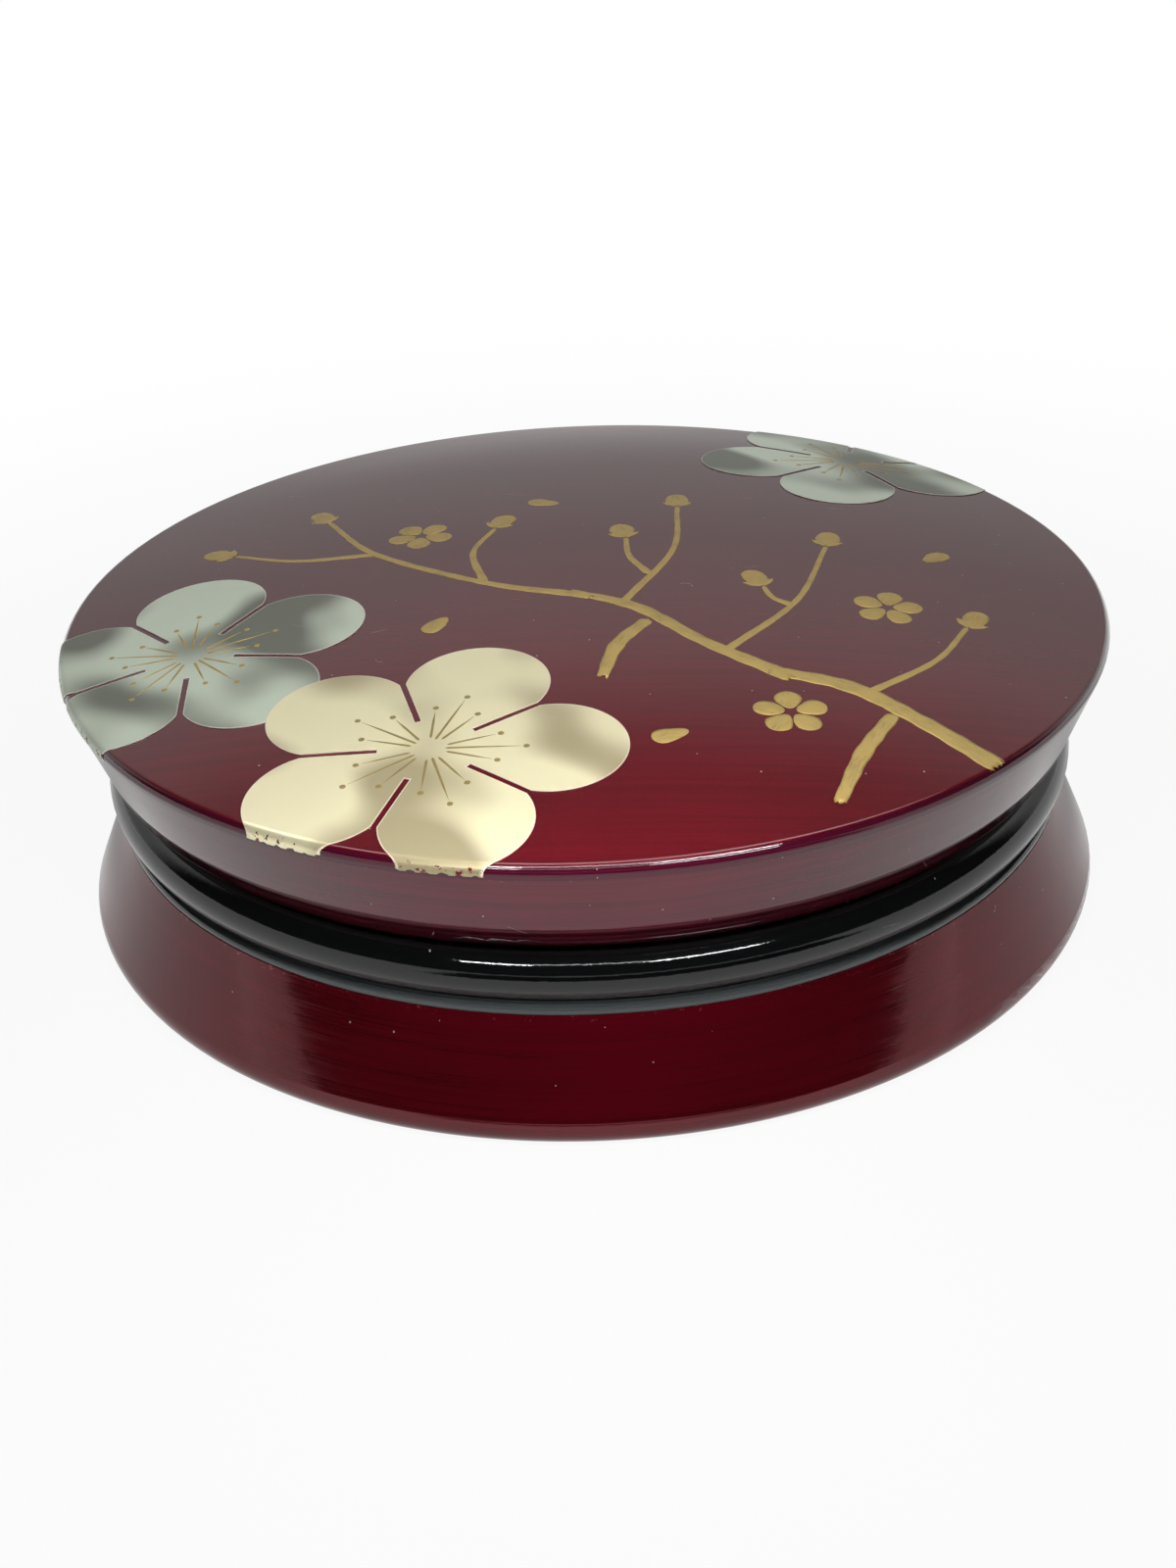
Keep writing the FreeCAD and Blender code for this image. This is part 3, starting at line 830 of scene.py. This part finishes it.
@dataclass
class PaintBrush:
    """Lays strokes of gold paint on the dome of the lid.

    Attributes:
        apex: height of the top of the dome, m.
        dome_radius: radius of the sphere that the dome is part of, m.
        step: distance between the sections of a stroke, mm.
        root: depth of a stroke's underside below the surface, mm.
        dry_reach: how far single bristles run on at a dry end, mm.
        short: strokes with fewer sections have them closer at the ends.
    """

    apex: float
    dome_radius: float
    step: float = 0.7
    lanes: int = 8
    crown: float = 0.05
    edge_height: float = 0.012
    root: float = 0.04
    dry_reach: float = 1.5
    tip_share: float = 0.06
    tip_length: float = 0.35
    blunt: float = 0.003
    samples: int = 40
    fewest: int = 6
    short: int = 14
    glance: float = 0.01
    waver: Range = (0.05, 0.9)
    jitter: float = 0.02
    chance: random.Random = field(default_factory=lambda: random.Random(52))

    def surface(self, x: float, y: float, lift: float) -> Vector:
        """The point above the dome at x, y, all in mm, returned in metres."""
        x, y = x * MM, y * MM
        drop = self.dome_radius - math.sqrt(self.dome_radius ** 2 - x * x - y * y)
        return Vector((x, y, self.apex - drop + lift * MM))

    @staticmethod
    def along(values: Sequence[float], share: float) -> float:
        """A value between evenly spread values, at a share of the way."""
        place = share * (len(values) - 1)
        low = min(int(place), len(values) - 2)
        part = place - low
        return values[low] * (1 - part) + values[low + 1] * part

    @staticmethod
    def smooth(points: Sequence[Point], share: float) -> Vector:
        """A point on the smooth line through the points, at a share of the way."""
        place = share * (len(points) - 1)
        low = min(int(place), len(points) - 2)
        part = place - low
        b, c = Vector(points[low]), Vector(points[low + 1])
        a = Vector(points[low - 1]) if low else 2 * b - c
        d = Vector(points[low + 2]) if low + 2 < len(points) else 2 * c - b
        return 0.5 * (2 * b + (c - a) * part + (2 * a - 5 * b + 4 * c - d) * part ** 2
                      + (3 * b - 3 * c + d - a) * part ** 3)

    def width_at(self, stroke: Stroke, share: float, length: float) -> float:
        """Half the stroke's width at a share of its length, with its ends shaped."""
        half = self.along(stroke.widths, share) / 2
        for end, distance in ((stroke.start, share * length), (stroke.end, (1 - share) * length)):
            if end is StrokeEnd.LOADED and distance < half:
                half *= math.sqrt(max(1 - (1 - distance / half) ** 2, self.blunt))
            elif end is StrokeEnd.FINE:
                half *= min(1.0, self.tip_share + distance / (self.tip_length * length))
        return half

    def lay(self, name: str, strokes: Iterable[Stroke], finish: bpy.types.Material,
            lift: float = 0.0) -> bpy.types.Object:
        """Makes one object of several strokes.

        Args:
            name: name of the object.
            strokes: the strokes.
            finish: the paint.
            lift: height of what the strokes lie on above the lacquer, mm.

        Returns:
            The object, riding on the lid.
        """
        points: list[Vector] = []
        faces: list[list[int]] = []
        layout: list[Point] = []
        for stroke in strokes:
            self._add(stroke, lift, points, faces, layout)
        mesh = bpy.data.meshes.new(name)
        mesh.from_pydata(points, [], faces)
        brushing = mesh.uv_layers.new(name=GOLD_PAINT.layer)
        for loop in mesh.loops:
            brushing.data[loop.index].uv = layout[loop.vertex_index]
        mesh.polygons.foreach_set("use_smooth", [len(face) == 4 for face in faces])
        mesh.materials.append(finish)
        mesh.validate()
        made = bpy.data.objects.new(name, mesh)
        bpy.context.scene.collection.objects.link(made)
        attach(made, "lid")
        return made

    def _add(self, stroke: Stroke, lift: float, points: list[Vector], faces: list[list[int]],
             layout: list[Point]) -> None:
        """Adds one closed stroke to the lists of a mesh."""
        line = [self.smooth(stroke.points, number / self.samples) for number in range(self.samples + 1)]
        length = sum((b - a).length for a, b in zip(line, line[1:]))
        sections = max(self.fewest, round(length / self.step))
        ring = self.lanes + 3
        first = len(points)
        wave, pace = self.waver
        phase = self.chance.uniform(0, FULL_TURN)
        starts = [self.chance.uniform(0, self.dry_reach) for _ in range(self.lanes + 1)]
        ends = [self.chance.uniform(0, self.dry_reach) for _ in range(self.lanes + 1)]
        for number in range(sections + 1):
            share = number / sections
            if sections < self.short:
                share = 0.5 - 0.5 * math.cos(math.pi * share)
            middle = self.smooth(stroke.points, share)
            before = self.smooth(stroke.points, max(share - self.glance, 0))
            ahead = (self.smooth(stroke.points, min(share + self.glance, 1)) - before).normalized()
            aside = Vector((-ahead.y, ahead.x))
            half = self.width_at(stroke, share, length)
            half *= (1 + wave * math.sin(phase + pace * share * length)
                     + self.chance.uniform(-self.jitter, self.jitter))
            for lane in range(self.lanes + 1):
                across = 2 * lane / self.lanes - 1
                spot = middle + aside * across * half
                if number == 0 and stroke.start is StrokeEnd.DRY:
                    spot -= ahead * starts[lane]
                if number == sections and stroke.end is StrokeEnd.DRY:
                    spot += ahead * ends[lane]
                height = self.edge_height + self.crown * (1 - across ** 2)
                points.append(self.surface(spot.x, spot.y, lift + height))
                layout.append((share * length, across * half))
            for across in (1, -1):
                spot = middle + aside * across * half
                points.append(self.surface(spot.x, spot.y, lift - self.root))
                layout.append((share * length, across * half))
        for number in range(sections):
            low = first + number * ring
            for corner in range(ring):
                after = (corner + 1) % ring
                faces.append([low + corner, low + ring + corner, low + ring + after, low + after])
        last = first + sections * ring
        faces.append([first + corner for corner in range(ring)])
        faces.append([last + corner for corner in reversed(range(ring))])


@dataclass
class Spray:
    """The painted branch with its twigs, buds and open blossoms.

    Attributes:
        rim: radius of the lid's rim, mm; the lines follow it as shares.
        buds_shares: place of each bud, with the direction it points, in degrees.
        flowers_shares: place of each painted blossom, with its turn in degrees.
        bud_dabs: bend of each dab of a bud, radians, with its length and width as shares of the radius.
        stamen_lines: bend of each stamen on a petal, radians, with its start and end as shares of the reach.
        stamen_limit: share of the rim's radius beyond which none are painted.
    """

    rim: float
    branch_shares: tuple[tuple[Point, ...], ...] = (
        ((0.668, -0.722), (0.560, -0.600), (0.455, -0.500), (0.322, -0.448)),
        ((0.352, -0.468), (0.215, -0.345), (0.100, -0.205), (-0.020, -0.130)),
        ((0.012, -0.150), (-0.183, -0.067), (-0.400, 0.117), (-0.512, 0.335)))
    branch_widths: tuple[tuple[float, ...], ...] = (
        (5.0, 4.4, 4.6, 3.6), (4.2, 3.3, 3.5, 2.4), (3.0, 2.2, 1.9, 1.2))
    shoots_shares: tuple[tuple[Point, ...], ...] = (
        ((0.520, -0.585), (0.455, -0.700), (0.400, -0.835)),
        ((0.118, -0.255), (0.060, -0.345), (0.030, -0.455)))
    twigs_shares: tuple[tuple[Point, ...], ...] = (
        ((0.250, -0.378), (0.395, -0.180), (0.478, 0.075)),
        ((0.075, -0.183), (0.178, 0.050), (0.200, 0.290)),
        ((-0.183, -0.067), (-0.208, 0.080), (-0.167, 0.205)),
        ((0.483, -0.520), (0.618, -0.400), (0.697, -0.265)),
        ((-0.400, 0.117), (-0.560, 0.132), (-0.690, 0.205)),
        ((0.385, -0.200), (0.352, -0.170), (0.338, -0.120)),
        ((0.128, -0.060), (0.094, 0.025), (0.090, 0.120)))
    buds_shares: tuple[Triple, ...] = (
        (0.478, 0.080, 78.0), (0.200, 0.295, 88.0), (-0.166, 0.210, 68.0), (0.700, -0.262, 62.0),
        (-0.694, 0.208, 150.0), (-0.514, 0.338, 112.0), (0.337, -0.117, 108.0), (0.089, 0.124, 98.0))
    flowers_shares: tuple[Triple, ...] = (
        (0.345, -0.585, 20.0), (-0.315, 0.195, 50.0), (0.560, -0.200, 5.0))
    loose_shares: tuple[Triple, ...] = (
        (0.168, -0.640, 200.0), (-0.040, 0.330, 160.0), (0.660, 0.020, 40.0), (-0.250, -0.205, 235.0))
    shoot_widths: tuple[float, ...] = (3.0, 3.6, 2.6)
    twig_widths: tuple[float, ...] = (2.1, 1.5, 1.2)
    bud_radius: float = 3.1
    bud_dabs: tuple[Triple, ...] = ((0.0, 2.7, 1.9), (0.95, 1.45, 0.6), (-0.95, 1.45, 0.6))
    bud_form: Triple = (0.7, 1.0, 0.8)
    petals: int = 5
    petal_start: float = 1.3
    petal_length: float = 6.6
    petal_width: float = 5.6
    petal_form: Triple = (0.45, 1.0, 1.05)
    loose_stretch: float = 1.2
    loose_form: Triple = (0.3, 0.85, 0.9)
    stamen_lines: tuple[Triple, ...] = ((0.0, 0.13, 0.74), (0.32, 0.15, 0.55), (-0.32, 0.15, 0.55))
    stamen_widths: Point = (0.62, 0.372)
    stamen_limit: float = 0.95
    dot_gap: float = 0.5
    dot_length: float = 1.3
    dot_widths: Triple = (1.25, 1.35, 1.2)

    def placed(self, shares: Sequence[Point]) -> tuple[Point, ...]:
        """Points in mm from shares of the rim's radius."""
        return tuple((x * self.rim, y * self.rim) for x, y in shares)

    def branch(self) -> list[Stroke]:
        """The branch in three strokes, each with dry ends, and its two straight shoots."""
        strokes = [Stroke(self.placed(line), widths, StrokeEnd.DRY, StrokeEnd.DRY)
                   for line, widths in zip(self.branch_shares, self.branch_widths)]
        return strokes + [Stroke(self.placed(line), self.shoot_widths, StrokeEnd.LOADED, StrokeEnd.DRY)
                          for line in self.shoots_shares]

    def twigs(self) -> list[Stroke]:
        """The twigs, each from the branch to its bud."""
        return [Stroke(self.placed(line), self.twig_widths) for line in self.twigs_shares]

    def loose_petals(self) -> list[Stroke]:
        """Single fallen petals, each pointed at one end."""
        widths = [share * self.petal_width for share in self.loose_form]
        length = self.loose_stretch * self.petal_length
        return [dab(Vector((x, y)) * self.rim, pointing(math.radians(turn)) * length, widths)
                for x, y, turn in self.loose_shares]

    def buds(self) -> list[Stroke]:
        """Each bud as a full drop with two pointed dabs at its root."""
        strokes = []
        for x, y, turn in self.buds_shares:
            for bend, length, width in self.bud_dabs:
                ahead = pointing(math.radians(turn) + bend) * self.bud_radius * length
                widths = [share * self.bud_radius * width for share in self.bud_form]
                end = StrokeEnd.FINE if bend else StrokeEnd.LOADED
                strokes.append(dab(Vector((x, y)) * self.rim, ahead, widths, end))
        return strokes

    def flowers(self) -> list[Stroke]:
        """Each painted blossom as round petals."""
        strokes = []
        widths = [share * self.petal_width for share in self.petal_form]
        for x, y, turn in self.flowers_shares:
            for number in range(self.petals):
                ahead = pointing(math.radians(turn) + FULL_TURN * number / self.petals)
                root = Vector((x, y)) * self.rim + ahead * self.petal_start
                strokes.append(dab(root, ahead * self.petal_length, widths))
        return strokes

    def stamens(self, bloom: Bloom) -> list[Stroke]:
        """The stamens on a foil blossom, three with dots on each petal, but none over the rim."""
        strokes = []
        for heading in bloom.headings():
            for bend, inner, outer in self.stamen_lines:
                ahead = pointing(heading + bend)
                root, tip = (bloom.middle + ahead * bloom.reach * share for share in (inner, outer))
                if tip.length > self.stamen_limit * self.rim:
                    continue
                strokes.append(dab(root, tip - root, self.stamen_widths, StrokeEnd.FINE))
                strokes.append(dab(tip + ahead * self.dot_gap, ahead * self.dot_length, self.dot_widths))
        return strokes


@dataclass
class Lid:
    """The lid: panel, side, lip, foils and gold paint, with all lengths in mm."""

    body: str = "lid"
    rim: float = 120.0
    dome_rise: float = 10.0
    foil_top: float = 0.20
    top_edges: tuple[float, ...] = (65.2,)
    side_edges: tuple[float, ...] = (63.2,)
    heel: float = 49.3
    # Painted shade: the skirt's heel turns darker red, for the dark bead and recess it mirrors.
    heel_shade_band: Band = Band((48.8, 46.3), 0.6, PAINTED_SHADE_RED)
    blooms: tuple[tuple[Bloom, MetalFoil], ...] = (
        (Bloom("gold_foil_front", 85.25, -112.0, 25.0, -76.0), PALE_GOLD),
        (Bloom("silver_foil_front", 91.055, -161.28, 24.5, 20.0), SILVER_GREEN),
        (Bloom("silver_foil_back", 103.365, 47.4, 23.5, -30.0), SILVER_GREEN),
    )

    def dress(self) -> list[str]:
        """Gives the CAD nodes their finishes and returns their names."""
        top = Lacquer("red_lacquer_top", RED_GROUND, RED_DEEP, Side.TOP, inside_colour=INSIDE_BLACK,
                      worn_edges=self.top_edges, rim=TurnedRim(), streak_height=0.001, peel_height=0.010)
        side = Lacquer("red_lacquer_side", SIDE_RED, SIDE_DEEP, Side.ROUND, 115.0, INSIDE_BLACK,
                       worn_edges=self.side_edges, streak_height=0.010, swell_height=0.035,
                       heel=self.heel, bands=(self.heel_shade_band,))
        lip = Lacquer("black_lacquer_lip", BLACK_GROUND, BLACK_DEEP, Side.ROUND, 100.0, depth=0.0)
        for node, finish in (("lid_panel", top), ("lid_skirt", side), ("lid_lip", lip)):
            dress_node(node, finish.material())
        for bloom, foil in self.blooms:
            dress_node(bloom.node, foil.material(bloom))
        return frame["record"]["behaviour"]["bodies"][self.body]

    def paint(self) -> list[bpy.types.Object]:
        """Paints the branch and the stamens and returns the objects."""
        dome_radius = (self.rim ** 2 + self.dome_rise ** 2) / (2 * self.dome_rise) * MM
        brush = PaintBrush(apex=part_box("lid_panel")[1].z, dome_radius=dome_radius)
        spray = Spray(rim=self.rim)
        finish = GOLD_PAINT.material()
        parts = {"branch": spray.branch(), "twigs": spray.twigs(), "buds": spray.buds(),
                 "flowers": spray.flowers(), "petals": spray.loose_petals()}
        made = [brush.lay(f"painted_{name}", strokes, finish) for name, strokes in parts.items()]
        olive = OLIVE_PAINT.material()
        for bloom, foil in self.blooms:
            name = bloom.node.replace("foil", "stamens")
            paint = olive if foil is PALE_GOLD else finish
            made.append(brush.lay(f"painted_{name}", spray.stamens(bloom), paint, self.foil_top))
        return made


# The studio


def grey(level: float) -> tuple[float, float, float, float]:
    """A grey as colour sockets want it."""
    return (level, level, level, 1.0)


def turned(first: Vector, second: Vector, angle: float) -> tuple[Vector, Vector]:
    """Two directions at right angles, the first turned towards the second by an angle in radians."""
    cosine, sine = math.cos(angle), math.sin(angle)
    return first * cosine + second * sine, second * cosine - first * sine


@dataclass(frozen=True)
class Lamp:
    """An area lamp that points at the box, in metres and watts."""

    name: str
    place: Triple
    size: Point
    power: float
    light: Light
    aim: Triple = (0.0, 0.0, 0.05)

    def hang(self) -> None:
        """Adds the lamp to the scene."""
        data = bpy.data.lights.new(self.name, "AREA")
        data.shape = "RECTANGLE"
        data.size, data.size_y = self.size
        data.energy = self.power
        lamp = bpy.data.objects.new(self.name, data)
        lamp.location = self.place
        lamp.rotation_euler = (Vector(self.aim) - lamp.location).to_track_quat("-Z", "Y").to_euler()
        lamp.visible_camera = False
        lamp.visible_glossy = self.light is Light.GLOSS
        lamp.visible_diffuse = self.light is Light.COLOUR
        bpy.context.scene.collection.objects.link(lamp)


@dataclass
class Studio:
    """Floor, surroundings, lamps and camera.

    Attributes:
        distance: camera's distance from the middle of the box's foot, m.
        tilt: camera's tilt above that middle, radians.
        pan: camera's pan beside it, radians.
        wall_levels: height of a direction, from 0 for level to 1 for straight up, and the brightness there.
        shade_level: brightness in front, above the pale strip near the floor.
        bright: the floor's least brightness in the gloss, and how much is added in front.
        seen: the floor's least brightness for the camera, and how much is added far away.
        shadow: share of a dark floor mirrored behind the box.
    """

    distance: float = 0.5560
    elevation: float = 30.432
    tilt: float = 0.0282
    pan: float = -0.001
    roll: float = -2.445
    lens: float = 52.0
    film: float = 36.0
    floor_size: float = 8.0
    wall_levels: tuple[tuple[float, float], ...] = (
        (0.0, 1.10), (0.03, 0.86), (0.06, 0.68), (0.12, 0.57), (0.16, 0.54), (0.21, 0.57), (0.34, 0.62),
        (0.45, 0.74), (0.52, 0.78), (0.57, 0.68), (0.61, 0.55), (0.643, 0.36), (0.68, 0.24), (0.75, 0.19),
        (1.0, 0.06))
    skirting: Range = (0.062, 0.055)
    behind: Range = (0.20, 0.50)
    shade_level: float = 0.025
    floor_gap: float = 0.1
    floor_grey: float = 0.70
    dark_grey: float = 0.06
    bright: Range = (0.86, 0.14)
    bright_ahead: Range = (0.3, 0.8)
    bright_reach: Range = (122.0, 132.0)
    seen: Range = (0.93, 0.07)
    seen_reach: Range = (150.0, 450.0)
    edge_ahead: Range = (0.66, 0.74)
    edge_across: Range = (-0.52, -0.42)
    edge_reach: Range = (218.0, 230.0)
    shadow: float = 0.55
    shadow_ahead: Range = (0.10, -0.25)
    shadow_reach: Range = (172.0, 128.0)
    lamps: tuple[Lamp, ...] = (
        Lamp("front", (0.0, -0.265, 0.212), (0.26, 0.03), 0.18, Light.COLOUR),
        Lamp("near", (0.0, -0.200, 0.150), (0.08, 0.02), 0.24, Light.COLOUR),
        Lamp("overhead", (-0.15, -0.25, 1.25), (1.0, 1.0), 0.4, Light.COLOUR),
        Lamp("bar_left", (-0.155, -0.395, 0.318), (0.11, 0.018), 0.42, Light.GLOSS),
        Lamp("bar_right", (0.165, -0.395, 0.318), (0.19, 0.018), 0.62, Light.GLOSS),
        Lamp("bar_middle", (-0.015, -0.395, 0.318), (0.16, 0.018), 0.10, Light.GLOSS),
        Lamp("bar_high", (0.010, -0.250, 0.600), (0.44, 0.030), 1.4, Light.GLOSS),
        Lamp("canopy", (0.0, 0.42, 1.25), (1.4, 0.42), 7.5, Light.GLOSS),
    )

    def build(self) -> None:
        """Builds all of the studio."""
        self._surroundings()
        self._floor()
        for lamp in self.lamps:
            lamp.hang()
        self._camera()

    def _surroundings(self) -> None:
        """Pale wall behind and pale strip all round near the floor; plain white for the camera."""
        world = bpy.data.worlds.new("studio")
        bpy.context.scene.world = world
        sheet = NodeSheet(world)
        x, y, z = sheet.node("ShaderNodeTexCoord", {}, {}, "Generated").parts()
        wall = sheet.node("ShaderNodeValToRGB", {"stops": self.wall_levels}, {0: z})
        behind = (y / span(x, y).most(0.001)).rise(*self.behind)
        glow = sheet.between(behind.most(z.rise(*self.skirting)), self.shade_level, wall)
        glow = sheet.between(sheet.ray("Is Camera Ray"), glow, 1.0)
        shell = sheet.node("ShaderNodeBackground", {}, {0: grey(1.0), 1: glow})
        sheet.close(shell, "ShaderNodeOutputWorld")

    def _floor(self) -> None:
        """A pale floor that keeps the shadow of the box, with painted shade where the gloss mirrors it."""
        half, low = self.floor_size / 2, CAD_LOW.z - self.floor_gap * MM
        corners = [(-half, -half, low), (half, -half, low), (half, half, low), (-half, half, low)]
        mesh = bpy.data.meshes.new("floor")
        mesh.from_pydata(corners, [], [(0, 1, 2, 3)])
        made = bpy.data.materials.new("pale_floor")
        sheet = NodeSheet(made)
        x, y, _ = sheet.place().parts()
        reach = span(x, y)
        camera, gloss = sheet.ray("Is Camera Ray"), sheet.ray("Is Glossy Ray")
        across, ahead = x / reach.most(1.0), -1.0 * y / reach.most(1.0)
        # Painted shade in the gloss only: a dark region beyond a line in front, a painted shadow behind the
        # box, and the floor darker close to the foot and at the sides and back.
        beyond = ahead.rise(*self.edge_ahead) * across.rise(*self.edge_across) * reach.rise(*self.edge_reach)
        shadow = self.shadow * ahead.rise(*self.shadow_ahead) * reach.rise(*self.shadow_reach)
        least, more = self.bright
        bright = least + more * ahead.rise(*self.bright_ahead) * reach.rise(*self.bright_reach)
        least, more = self.seen
        share = (camera * (least + more * reach.rise(*self.seen_reach))).most(gloss * bright)
        matt = sheet.node("ShaderNodeBsdfDiffuse", {}, {"Color": grey(self.floor_grey)})
        lit = sheet.node("ShaderNodeEmission", {}, {"Color": grey(1.0), "Strength": 1.0})
        dark = sheet.node("ShaderNodeBsdfDiffuse", {}, {"Color": grey(self.dark_grey)})
        seen = sheet.node("ShaderNodeMixShader", {}, {0: share, 1: matt, 2: lit})
        painted_dark_share = gloss * beyond.most(shadow)
        sheet.close(sheet.node("ShaderNodeMixShader", {}, {0: painted_dark_share, 1: seen, 2: dark}))
        mesh.materials.append(made)
        floor = bpy.data.objects.new("floor", mesh)
        bpy.context.scene.collection.objects.link(floor)

    def _camera(self) -> None:
        """The camera of the photograph."""
        rise = math.radians(self.elevation)
        ahead, right = Vector((0, math.cos(rise), -math.sin(rise))), Vector((1, 0, 0))
        ahead, up = turned(ahead, right.cross(ahead), self.tilt)
        ahead, right = turned(ahead, right, self.pan)
        right, up = turned(right, up, math.radians(self.roll))
        data = bpy.data.cameras.new("camera")
        data.lens = self.lens
        data.sensor_width = self.film
        data.clip_start = 0.01
        camera = bpy.data.objects.new("camera", data)
        camera.matrix_world = Matrix((right, up, -ahead)).transposed().to_4x4()
        camera.location = (0, -self.distance * math.cos(rise), self.distance * math.sin(rise))
        bpy.context.scene.collection.objects.link(camera)
        bpy.context.scene.camera = camera


def main() -> None:
    """Builds the box's looks and its studio."""
    logging.basicConfig(level=logging.INFO, format="%(name)s: %(message)s")
    bpy.context.scene.view_settings.view_transform = "Standard"
    for node in Base().dress():
        log.info("dressed %s", node)
    lid = Lid()
    for node in lid.dress():
        log.info("dressed %s", node)
    for piece in lid.paint():
        log.info("painted %s, %d faces", piece.name, len(piece.data.polygons))
    Studio().build()


if __name__ == "__main__":
    main()
